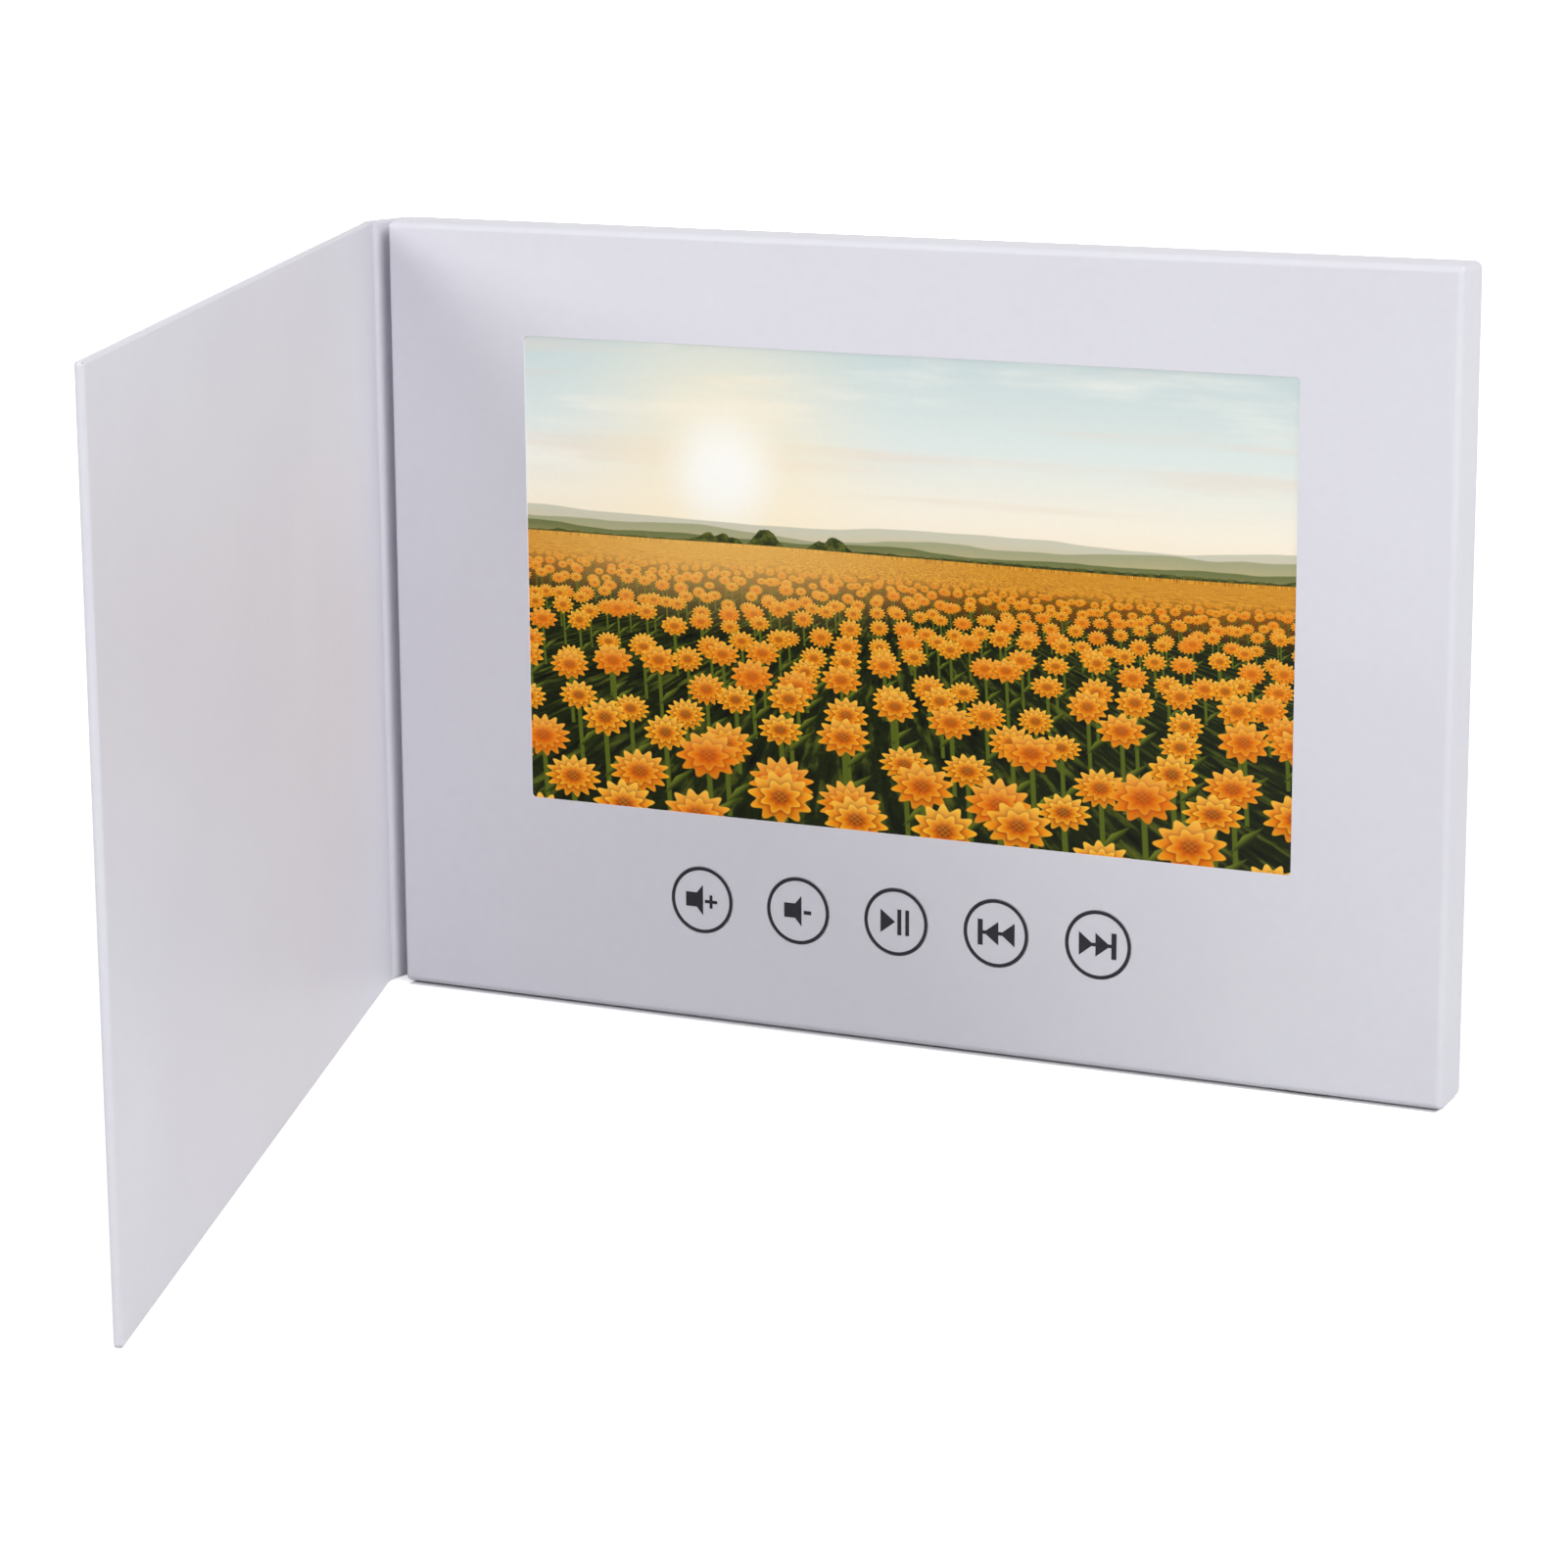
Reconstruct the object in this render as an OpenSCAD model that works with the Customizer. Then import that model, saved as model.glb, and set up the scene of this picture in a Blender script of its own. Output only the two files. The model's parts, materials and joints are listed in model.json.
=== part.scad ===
// Video brochure: a hard paper case whose back panel carries a flat screen box.
// A spine and a cover fold over the screen on two creases, and five round keys
// sit under the screen. The origin is the middle of the box's bottom face,
// +X is to the reader's right, +Y to the back and +Z up. The case stands open.

/* [Box] */
// Width of the screen box
box_w = 210; // [190:1:230]
// Height of the screen box
box_h = 148; // [134:1:200]
// Depth of the screen box with the back panel
box_t = 10.5; // [9.5:0.1:16]
// Radius of the soft edges round the box's front
edge_r = 1.4; // [0.7:0.1:2]
// Radius of the box's corners, seen from the front
corner_r = 1.2; // [0.7:0.1:2]
// Thickness of the printed card folded round the box
card_t = 0.4; // [0.3:0.05:0.6]
// Thickness of the board behind the front card
front_board_t = 1.2; // [0.8:0.1:1.5]
// Width of the strips that make the box's side walls
wall_w = 6; // [4:0.5:7]

/* [Case] */
// Thickness of a case panel with its paper
panel_t = 1.6; // [1.2:0.1:2]
// Thickness of the case's wrapping paper
wrap_t = 0.25; // [0.15:0.05:0.35]
// Length of the cover from its crease to its free edge
cover_l = 212; // [184:1:270]
// Gap left between the closed case and the box
case_gap = 0.3; // [0.2:0.05:0.6]
// Radius of the panels' pressed edges
panel_edge_r = 0.5; // [0.3:0.05:0.55]
// Radius of the cover's corners
cover_corner_r = 0.6; // [0.3:0.1:3]
// Radius of the round bead in which a crease turns
bead_r = 0.35; // [0.3:0.05:0.45]
// Running gap between a bead and the paper beside it
bead_gap = 0.1; // [0.05:0.01:0.1]
// Angle of the spine from flat, as it stands
spine_angle = 75.7; // [10:0.1:90]
// Angle of the cover from the spine, as it stands
cover_fold = 34.2; // [0:0.1:90]

/* [Screen] */
// Width of the window in the front card
window_w = 152.4; // [140:0.1:153]
// Height of the window in the front card
window_h = 88.1; // [80:0.1:89]
// Height of the window's lower edge above the bottom
window_z = 39.6; // [38:0.1:44]
// Radius of the window's corners
window_r = 0.8; // [0.3:0.1:3]
// Width of the display module
lcd_w = 165; // [160:0.5:172]
// Height of the display module
lcd_h = 94; // [92:0.5:104]
// Thickness of the display module
lcd_t = 3.4; // [3:0.1:3.8]
// Thickness of the display's glass
glass_t = 1.4; // [1:0.1:1.6]
// Thickness of the display's metal tray
lcd_tray_t = 0.3; // [0.2:0.05:0.4]
// Thickness of the tape round the window
tape_t = 0.1; // [0.05:0.05:0.2]

/* [Keys] */
// Distance between two neighbouring keys
key_pitch = 20; // [17:0.1:22]
// Height of the keys' centres above the bottom
key_z = 23.1; // [21:0.1:24]
// Radius of a key
key_r = 6.35; // [6:0.05:6.8]
// Running gap round a key
key_gap = 0.1; // [0.05:0.01:0.1]
// Travel of a key when pressed
key_travel = 0.3; // [0.2:0.05:0.3]
// Width of the printed ring round a key
ring_w = 0.62; // [0.4:0.02:0.9]
// Thickness of the printed ink
ink_t = 0.05; // [0.03:0.01:0.1]
// Width of a key switch
switch_w = 6.2; // [5.5:0.1:7]
// Height of a key switch
switch_t = 3.5; // [3.2:0.1:4]
// Radius of a switch's plunger
plunger_r = 1.75; // [1.4:0.05:2]
// Running gap round a plunger
plunger_gap = 0.05; // [0.02:0.01:0.1]

/* [Electronics] */
// Distance of the charging socket's centre from the box's right side
usb_from_right = 25.05; // [20:0.05:34]
// Width of the charging socket
usb_w = 7.5; // [7.2:0.1:8]
// Height of the charging socket above its board
usb_t = 2.6; // [2.4:0.1:2.8]
// Depth of the charging socket
usb_l = 5.2; // [4.8:0.1:5.6]
// Gap round the charging socket in the card
usb_gap = 0.25; // [0.15:0.05:0.3]
// Thickness of the circuit boards
pcb_t = 1; // [0.8:0.1:1.2]
// Width of the main board
main_w = 40; // [38:0.5:46]
// Height of the main board's upper edge above the bottom
main_top = 31; // [30:0.5:32]
// Width of the battery cell
cell_w = 90; // [60:1:100]
// Height of the battery cell
cell_h = 56; // [40:1:70]
// Thickness of the battery cell
cell_t = 3.4; // [3:0.1:4.2]
// Radius of the speaker
speaker_r = 13; // [11:0.5:13]
// Depth of the speaker
speaker_t = 4.2; // [3.8:0.1:4.5]
// Diameter of the insulated wires
wire_d = 1.1; // [0.8:0.1:1.2]
// Radius of the magnet in the cover
magnet_r = 4; // [3:0.5:6]

/* [Hidden] */
$fn = 48;

// Planes of the box from front to back
front_y = -box_t / 2;
card_in_y = front_y + card_t;
board_in_y = card_in_y + front_board_t;
back_y = box_t / 2;
back_in_y = back_y - panel_t;
half_w = box_w / 2;

// Creases: each axis runs up the middle of the panels' thickness
panel_gap = case_gap + panel_t / 2;
spine_l = box_t + case_gap;
web_t = 2 * wrap_t;
crease_a = [-half_w - panel_gap, back_y - panel_t / 2];
crease_b = crease_a - spine_l * [cos(spine_angle), sin(spine_angle)];
spine_end = spine_l - panel_gap;

// Least gap between parts that don't touch
seat_gap = 0.3;

// Display module, centred on the window
window_mid_z = window_z + window_h / 2;
lcd_front_y = card_in_y + tape_t;
lcd_back_y = lcd_front_y + lcd_t;
lcd_wall = 0.4;
tape_w = 2.4;
light_gap = 0.1;

// Underside of the top wall, which keeps clear of the display
top_wall_z = max(box_h - card_t - wall_w, window_mid_z + lcd_h / 2 + seat_gap);

// Charging socket and main board
usb_x = half_w - usb_from_right;
usb_front_y = card_in_y + usb_gap;
usb_mouth_z = 0.2;
usb_wall = 0.3;
main_front_y = usb_front_y + usb_t;
main_back_y = main_front_y + pcb_t;
main_gap = 0.6;
main_right = half_w - card_t - wall_w - main_gap;
main_left = main_right - main_w;
main_mid_x = (main_left + main_right) / 2;
main_bottom = card_t + wall_w + main_gap;
tab_w = 13;
tab_z = 0.9;
flex_w = 20;
flex_x = main_left + 16;
flex_t = 0.2;
flex_y = main_front_y - 0.8;
flex_socket_h = 4;
flex_socket_z = main_top - flex_socket_h - 2.5;
flex_depth = 2.5;
sensor_x = main_left + 14;
sensor_z = main_top - 9.5;

// Key row
board_hole_r = key_r + 0.65;
switch_front_y = board_in_y + seat_gap + key_travel / 2;
key_board_y = switch_front_y + switch_t;
key_board_w = 4 * key_pitch + 12;
key_board_h = 13;
switch_floor_t = 0.4;
plunger_end_y = key_board_y - switch_floor_t - key_travel - 0.65;
ribbon_h = 6;

// Battery behind the display
cell_front_y = lcd_back_y + seat_gap;
cell_back_y = cell_front_y + cell_t;
cell_mid_x = -15;
cell_mid_z = window_mid_z + 3;
cell_r = 1.2;
cell_right = cell_mid_x + cell_w / 2;
cell_mid_y = (cell_front_y + cell_back_y) / 2;
sleeve_t = 0.2;
cell_board_w = 3.4;
cell_board_h = 30;

// Speaker in the lower left of the box
speaker_side = 5;
speaker_x = -half_w + card_t + wall_w + speaker_side + speaker_r;
speaker_z = card_t + wall_w + seat_gap + speaker_r;
speaker_front_y = back_in_y - speaker_t;

// Connectors for the wires on the main board's back
plug_w = 6;
plug_t = 2.6;
battery_plug_x = main_left + 4;
battery_plug_z = main_top - 9;
speaker_plug_x = main_left + 3;
speaker_plug_z = main_bottom + 3;
wire_gap = 2;

white = [0.89, 0.88, 0.91];
grey_board = [0.60, 0.57, 0.52];
foam_grey = [0.22, 0.22, 0.23];
board_green = [0.05, 0.30, 0.18];
metal = [0.72, 0.72, 0.70];
black = [0.06, 0.06, 0.07];

// Where the wires run, from their start: down from the battery to its
// connector, and from the speaker along under the key board
battery_route = [
    [0, 0, 0], [0, 0, -4], [3, 0, -9], [7.5, -0.1, -15], [12, -0.3, -21], [16.5, -0.5, -27],
    [21, -0.6, -32.5], [25, -0.7, -37.5], [27, -0.7, -41], [27, -0.7, -44]
];
speaker_route = [
    [0, 0, 0], [5, 0, 0], [11, -0.8, -3], [18, -2, -6.6], [26, -2.4, -7], [45, -2.4, -7],
    [65, -2.4, -7], [85, -2.4, -7], [105, -2.4, -7], [117, -2.4, -7], [123, -2.4, -7]
];

// Helpers

function unit(v) = v / norm(v);

// A smooth curve through the points p, in n steps from each to the next
function curve(p, n) = concat(
    [for (i = [0 : len(p) - 2], k = [0 : n - 1])
        let (
            a = p[max(i - 1, 0)],
            b = p[i],
            c = p[i + 1],
            d = p[min(i + 2, len(p) - 1)],
            s = k / n
        )
        b + s * (c - a) / 2 + s * s * (a - 2.5 * b + 2 * c - d / 2)
            + s * s * s * (1.5 * (b - c) + (d - a) / 2)],
    [p[len(p) - 1]]
);

// A route stretched along each axis to run from start to goal
function fitted(route, start, goal) =
    let (last = route[len(route) - 1])
    [for (p = route) start + [for (k = [0 : 2]) p[k] * (goal[k] - start[k]) / last[k]]];

// Direction of the curve p at its point i
function heading(p, i) = unit(p[min(i + 1, len(p) - 1)] - p[max(i - 1, 0)]);

// A wire along the curve p, which never runs along Y
module wire(p, d) {
    sides = 8;
    last = len(p) - 1;
    rings = [for (i = [0 : last], k = [0 : sides - 1])
        let (
            t = heading(p, i),
            u = unit(cross([0, 1, 0], t)),
            v = cross(t, u),
            angle = 360 * k / sides
        )
        p[i] + d / 2 * (cos(angle) * u + sin(angle) * v)];
    around = [for (i = [0 : last - 1], k = [0 : sides - 1])
        let (next = (k + 1) % sides)
        [i * sides + k, (i + 1) * sides + k, (i + 1) * sides + next, i * sides + next]];
    start = [for (k = [0 : sides - 1]) k];
    end = [for (k = [sides - 1 : -1 : 0]) last * sides + k];
    polyhedron(rings, concat([start], [end], around), 4);
}

// What is cut away to round the corner p of an outline to the radius r,
// where inward points from the corner to the shape's inside
module corner_cut(p, inward, r) {
    over = 1;
    difference() {
        translate([p[0] + (inward[0] > 0 ? -over : -r), p[1] + (inward[1] > 0 ? -over : -r)])
            square([r + over, r + over]);
        translate([p[0] + inward[0] * r, p[1] + inward[1] * r])
            circle(r);
    }
}

// A rectangle from p to q whose corners are rounded to the radii in r:
// low-low, high-low, high-high and low-high, where 0 leaves a sharp corner
module soft_rect(p, q, r) {
    difference() {
        translate(p)
            square(q - p);
        if (r[0] > 0) corner_cut(p, [1, 1], r[0]);
        if (r[1] > 0) corner_cut([q[0], p[1]], [-1, 1], r[1]);
        if (r[2] > 0) corner_cut(q, [-1, -1], r[2]);
        if (r[3] > 0) corner_cut([p[0], q[1]], [1, -1], r[3]);
    }
}

// Extrusions of an outline drawn in x and z, from y0 to y1, and of an
// outline drawn in y and z, from x0 to x1
module along_y(y0, y1) {
    translate([0, y1, 0])
        rotate([90, 0, 0])
            linear_extrude(y1 - y0)
                children();
}

module along_x(x0, x1) {
    translate([x0, 0, 0])
        rotate([90, 0, 90])
            linear_extrude(x1 - x0)
                children();
}

module block(p, q) {
    translate(p)
        cube(q - p);
}

// A round bar along Y
module bar(x, z, r, y0, y1) {
    translate([x, y1, z])
        rotate([90, 0, 0])
            cylinder(h = y1 - y0, r = r);
}

// Box

// The box's outer form, or its inner one when drawn in by the amount inset
module box_form(inset) {
    r = edge_r - inset;
    c = corner_r - inset;
    x = half_w - inset;
    top = box_h - inset;
    intersection() {
        linear_extrude(box_h)
            soft_rect([-x, front_y + inset], [x, back_in_y], [r, r, 0, 0]);
        along_x(-half_w, half_w)
            soft_rect([front_y + inset, inset], [back_in_y, top], [r, 0, 0, r]);
        along_y(front_y, back_in_y)
            soft_rect([-x, inset], [x, top], [c, c, c, c]);
    }
}

module window_outline(grow) {
    x = window_w / 2 + grow;
    r = window_r;
    soft_rect([-x, window_z - grow], [x, window_z + window_h + grow], [r, r, r, r]);
}

// The display's outline grown by some amount
module lcd_outline(grow) {
    translate([-lcd_w / 2 - grow, window_mid_z - lcd_h / 2 - grow])
        square([lcd_w + 2 * grow, lcd_h + 2 * grow]);
}

module key_holes(r, y0, y1) {
    for (i = [0 : 4])
        bar(key_x(i), key_z, r, y0, y1);
}

function key_x(i) = (i - 2) * key_pitch;

module tray_wrap() {
    color(white)
    difference() {
        box_form(0);
        box_form(card_t);
        along_y(front_y - 1, card_in_y + 0.5)
            window_outline(0);
        key_holes(key_r + key_gap, front_y - 1, card_in_y + 0.5);
        block(
            [usb_x - usb_w / 2 - usb_gap, card_in_y, -1],
            [usb_x + usb_w / 2 + usb_gap, main_front_y + usb_gap, edge_r]
        );
    }
}

module front_board() {
    color(grey_board)
    difference() {
        intersection() {
            box_form(card_t);
            block([-half_w, card_in_y, 0], [half_w, board_in_y, box_h]);
        }
        along_y(card_in_y - 1, board_in_y + 1)
            lcd_outline(seat_gap);
        key_holes(board_hole_r, card_in_y - 1, board_in_y + 1);
        block(
            [usb_x - usb_w / 2 - usb_gap, card_in_y - 1, -1],
            [usb_x + usb_w / 2 + usb_gap, board_in_y + 1, usb_mouth_z + usb_l + usb_gap]
        );
    }
}

// A strip of the side walls, cut from the space between the two boards
module wall_strip(p, q) {
    color(grey_board)
    intersection() {
        box_form(card_t);
        block([p[0], board_in_y, p[1]], [q[0], back_in_y, q[1]]);
    }
}

module frame_top() {
    wall_strip([-half_w, top_wall_z], [half_w, box_h]);
}

module frame_bottom() {
    side_gap = 0.5;
    difference() {
        wall_strip([-half_w, 0], [half_w, card_t + wall_w]);
        // Notch for the board's tab and the charging socket
        block(
            [usb_x - tab_w / 2 - side_gap, board_in_y - 1, -1],
            [usb_x + tab_w / 2 + side_gap, main_back_y + case_gap, card_t + wall_w + 1]
        );
    }
}

module frame_left() {
    wall_strip([-half_w, card_t + wall_w], [-half_w + card_t + wall_w, top_wall_z]);
}

module frame_right() {
    wall_strip([half_w - card_t - wall_w, card_t + wall_w], [half_w, top_wall_z]);
}

// Case

// The back panel's full form, its free edges pressed round at the back
module back_form() {
    r = panel_edge_r;
    c = corner_r;
    intersection() {
        linear_extrude(box_h)
            soft_rect([-half_w, back_in_y], [half_w, back_y], [0, 0, r, 0]);
        along_x(-half_w, half_w)
            soft_rect([back_in_y, 0], [back_y, box_h], [0, r, r, 0]);
        along_y(back_in_y, back_y)
            soft_rect([-half_w, 0], [half_w, box_h], [0, c, c, 0]);
    }
}

module back_core() {
    block(
        [-half_w + wrap_t, back_in_y, wrap_t],
        [half_w - wrap_t, back_y - wrap_t, box_h - wrap_t]
    );
}

module back_board() {
    color(grey_board)
    intersection() {
        back_core();
        back_form();
        along_y(back_in_y, back_y)
            soft_rect(
                [-half_w, wrap_t], [half_w - wrap_t, box_h - wrap_t],
                [0, corner_r - wrap_t, corner_r - wrap_t, 0]
            );
    }
}

module back_wrap() {
    color(white)
    union() {
        difference() {
            back_form();
            back_board();
        }
        // Paper that reaches toward the crease
        translate([crease_a[0], crease_a[1], 0])
            web(bead_r + bead_gap, panel_gap + wrap_t / 2);
    }
}

// Crease paper from x0 to x1 in the plane of a crease's axis
module web(x0, x1) {
    block([x0, -web_t / 2, 0], [x1, web_t / 2, box_h]);
}

// A panel that reaches from the crease at 0 to x = -l, at most l1 long, with
// its top and bottom edges pressed round and its far end too if far_r > 0
module panel_form(l, l1, far_r) {
    r = panel_edge_r;
    c = far_r > 0 ? cover_corner_r : 0;
    h = panel_t / 2;
    intersection() {
        linear_extrude(box_h)
            soft_rect([-l1, -h], [-panel_gap, h], [far_r, 0, 0, far_r]);
        along_x(-l, 0)
            soft_rect([-h, 0], [h, box_h], [r, r, r, r]);
        along_y(-h, h)
            soft_rect([-l1, 0], [-panel_gap, box_h], [c, 0, 0, c]);
    }
}

// The space of a panel's board, with paper round it and the liner on its inside
module panel_core(l1) {
    h = panel_t / 2;
    block([-l1 + wrap_t, -h + wrap_t, wrap_t], [-panel_gap - wrap_t, h - wrap_t, box_h - wrap_t]);
}

// The inside layer of a panel
module panel_liner(l, l1, far_r) {
    intersection() {
        panel_form(l, l1, far_r);
        block([-l1, -panel_t, 0], [0, -panel_t / 2 + wrap_t, box_h]);
    }
}

// The outside layer of a panel, turned round its edges up to the liner
module panel_wrap(l, l1, far_r) {
    difference() {
        panel_form(l, l1, far_r);
        panel_core(l1);
        block([-l1 - 1, -panel_t, -1], [1, -panel_t / 2 + wrap_t, box_h + 1]);
    }
}

// Places what is drawn flat at the spine or at the cover as the case stands
module at_spine() {
    translate([crease_a[0], crease_a[1], 0])
        rotate([0, 0, spine_angle])
            children();
}

module at_cover() {
    translate([crease_b[0], crease_b[1], 0])
        rotate([0, 0, spine_angle + cover_fold])
            children();
}

module spine_board() {
    color(grey_board)
    at_spine()
        panel_core(spine_end);
}

module spine_wrap() {
    color(white)
    at_spine()
        union() {
            panel_wrap(spine_l, spine_end, 0);
            web(-panel_gap - wrap_t / 2, 0);
            web(-spine_l, -spine_end + wrap_t / 2);
            cylinder(h = box_h, r = bead_r);
            translate([-spine_l, 0, 0])
                cylinder(h = box_h, r = bead_r);
        }
}

module spine_liner() {
    color(white)
    at_spine()
        panel_liner(spine_l, spine_end, 0);
}

// Middle of the magnet, over the sensor when the case is shut
magnet_x = -(sensor_x - crease_a[0]);
magnet_fit = 0.1;

module cover_board() {
    color(grey_board)
    at_cover()
        difference() {
            panel_core(cover_l);
            bar(magnet_x, sensor_z, magnet_r + magnet_fit, -panel_t, panel_t);
        }
}

module cover_wrap() {
    color(white)
    at_cover()
        union() {
            panel_wrap(cover_l, cover_l, panel_edge_r);
            web(-panel_gap - wrap_t / 2, -bead_r - bead_gap);
        }
}

module cover_liner() {
    color(white)
    at_cover()
        panel_liner(cover_l, cover_l, panel_edge_r);
}

module cover_magnet() {
    color(metal)
    at_cover()
        bar(magnet_x, sensor_z, magnet_r, -panel_t / 2 + wrap_t, panel_t / 2 - wrap_t);
}

// Display

module lcd_tape() {
    color(black)
    along_y(card_in_y, lcd_front_y)
        difference() {
            lcd_outline(0);
            lcd_outline(-tape_w);
        }
}

module lcd_panel() {
    color([0.10, 0.12, 0.16])
    along_y(lcd_front_y, lcd_front_y + glass_t)
        lcd_outline(-lcd_wall - light_gap);
}

module lcd_backlight() {
    color([0.93, 0.94, 0.96])
    along_y(lcd_front_y + glass_t, lcd_back_y - lcd_tray_t)
        lcd_outline(-lcd_wall - light_gap);
}

module lcd_tray() {
    color(metal)
    difference() {
        along_y(lcd_front_y, lcd_back_y)
            lcd_outline(0);
        along_y(lcd_front_y - 1, lcd_back_y - lcd_tray_t)
            lcd_outline(-lcd_wall);
        // Slot for the flat cable in the lower wall
        block(
            [flex_x - flex_w / 2 - lcd_wall, flex_y - 2 * flex_t, window_mid_z - lcd_h / 2 - 1],
            [flex_x + flex_w / 2 + lcd_wall, flex_y + 3 * flex_t, window_mid_z - lcd_h / 2 + lcd_wall]
        );
    }
}

// Flat cable from the display's lower edge down to its connector
module lcd_flex() {
    color([0.75, 0.45, 0.12])
    block(
        [flex_x - flex_w / 2, flex_y, flex_socket_z + flex_socket_h - flex_depth],
        [flex_x + flex_w / 2, flex_y + flex_t, window_mid_z - lcd_h / 2 + lcd_wall]
    );
}

// Pads between the back panel and the battery, and beside it to the display
module back_foam() {
    pad_h = 48;
    pad_w = 11;
    color(foam_grey) {
        for (side = [-1, 1])
            block(
                [side * (lcd_w / 2 - pad_w) - pad_w / 2, lcd_back_y, cell_mid_z - pad_h / 2],
                [side * (lcd_w / 2 - pad_w) + pad_w / 2, back_in_y, cell_mid_z + pad_h / 2]
            );
        for (side = [-1, 1])
            block(
                [cell_mid_x + side * cell_w / 4 - pad_w / 2, cell_back_y, cell_mid_z - cell_h / 3],
                [cell_mid_x + side * cell_w / 4 + pad_w / 2, back_in_y, cell_mid_z + cell_h / 3]
            );
    }
}

// Main board

module main_board() {
    hole_r = 1;
    hole_inset = 2.2;
    color(board_green)
    difference() {
        along_y(main_front_y, main_back_y)
            union() {
                translate([main_left, main_bottom])
                    square([main_w, main_top - main_bottom]);
                translate([usb_x - tab_w / 2, tab_z])
                    square([tab_w, main_bottom - tab_z + 1]);
            }
        for (x = [main_left + hole_inset, main_right - hole_inset])
            bar(x, main_top - hole_inset, hole_r, main_front_y - 1, main_back_y + 1);
    }
}

// A part soldered on the board's front, its lower left corner at x from the
// board's middle and z above the board's lower edge
module soldered(x, z, w, h, t) {
    x0 = main_mid_x + x;
    z0 = main_bottom + z;
    block([x0, main_front_y - t, z0], [x0 + w, main_front_y, z0 + h]);
}

// Processor and memory in black packages
module chips() {
    color(black) {
        soldered(0, 5, 9, 9, 1);
        soldered(-11, 4.5, 6.5, 5, 1.1);
    }
}

// Crystal can, a row of capacitors under the processor and one beside it
module small_parts() {
    part_w = 0.8;
    part_l = 1.6;
    part_t = 0.7;
    row_pitch = 2.2;
    color([0.70, 0.60, 0.45]) {
        soldered(11, 12, 3.2, 2.5, 0.9);
        for (i = [0 : 4])
            soldered(row_pitch * i, 2, part_w, part_l, part_t);
        for (i = [0 : 2])
            soldered(11, 5 + row_pitch * i, part_l, part_w, part_t);
    }
}

// Outline of the charging socket, wide at the front, narrow at its board
module usb_outline(inset) {
    w = usb_w / 2 - inset;
    narrow = w - 1.1;
    shoulder = usb_t - 1.2;
    polygon([
        [usb_x - w, usb_front_y + inset],
        [usb_x + w, usb_front_y + inset],
        [usb_x + w, usb_front_y + shoulder],
        [usb_x + narrow, main_front_y - inset],
        [usb_x - narrow, main_front_y - inset],
        [usb_x - w, usb_front_y + shoulder]
    ]);
}

module usb_socket() {
    foot_w = 0.9;
    foot_z = 2.4;
    foot_h = 1.8;
    color(metal)
    union() {
        difference() {
            translate([0, 0, usb_mouth_z])
                linear_extrude(usb_l)
                    usb_outline(0);
            translate([0, 0, usb_mouth_z - 1])
                linear_extrude(usb_l - usb_wall + 1)
                    usb_outline(usb_wall);
        }
        // Legs beside the shell that stand on the board
        for (x = [usb_x - usb_w / 2 - foot_w + usb_wall, usb_x + usb_w / 2 - usb_wall])
            block([x, main_front_y - usb_wall, foot_z], [x + foot_w, main_front_y, foot_z + foot_h]);
        for (x = [usb_x - usb_w / 2, usb_x + usb_w / 2 - usb_wall])
            block([x, usb_front_y + usb_wall, foot_z], [x + usb_wall, main_front_y, foot_z + foot_h]);
    }
}

// Plastic blade with the contacts, and the block that holds it in the shell
module usb_tongue() {
    blade_w = 3.9;
    blade_t = 0.6;
    blade_y = usb_front_y + usb_t / 2 - 0.4;
    blade_z = usb_mouth_z + 0.8;
    root_w = 4;
    root_h = 0.9;
    inside_z = usb_mouth_z + usb_l - usb_wall;
    color(black)
    union() {
        block(
            [usb_x - blade_w / 2, blade_y, blade_z],
            [usb_x + blade_w / 2, blade_y + blade_t, inside_z]
        );
        block(
            [usb_x - root_w / 2, usb_front_y + usb_wall, inside_z - root_h],
            [usb_x + root_w / 2, main_front_y - usb_wall, inside_z]
        );
    }
}

// Connector that the display's flat cable slides into
module flex_connector() {
    side = 1.5;
    height = 1.4;
    color([0.85, 0.82, 0.72])
    difference() {
        block(
            [flex_x - flex_w / 2 - side, main_front_y - height, flex_socket_z],
            [flex_x + flex_w / 2 + side, main_front_y, flex_socket_z + flex_socket_h]
        );
        block(
            [flex_x - flex_w / 2, flex_y, flex_socket_z + flex_socket_h - flex_depth],
            [flex_x + flex_w / 2, flex_y + flex_t, flex_socket_z + flex_socket_h + 1]
        );
    }
}

// Two white connectors on the board's back, for the battery and the speaker
module wire_connectors() {
    color([0.92, 0.91, 0.88])
    for (corner = [[battery_plug_x, battery_plug_z], [speaker_plug_x, speaker_plug_z]])
        block(
            [corner[0], main_back_y, corner[1]],
            [corner[0] + plug_w, main_back_y + plug_t, corner[1] + plug_w]
        );
}

// Sensor that feels the cover's magnet
module hall_sensor() {
    sensor_w = 3;
    sensor_h = 1.6;
    sensor_t = 1.1;
    color(black)
    block(
        [sensor_x - sensor_w / 2, main_front_y - sensor_t, sensor_z - sensor_h / 2],
        [sensor_x + sensor_w / 2, main_front_y, sensor_z + sensor_h / 2]
    );
}

// Pad that carries the main board off the back panel
module board_foam() {
    inset = 3;
    color(foam_grey)
    block(
        [main_mid_x - 2 * inset, main_back_y, main_bottom + inset],
        [main_right - inset, back_in_y, main_top - inset]
    );
}

// Key board

module key_board() {
    color(board_green)
    block(
        [-key_board_w / 2, key_board_y, key_z - key_board_h / 2],
        [key_board_w / 2, key_board_y + pcb_t, key_z + key_board_h / 2]
    );
}

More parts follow.
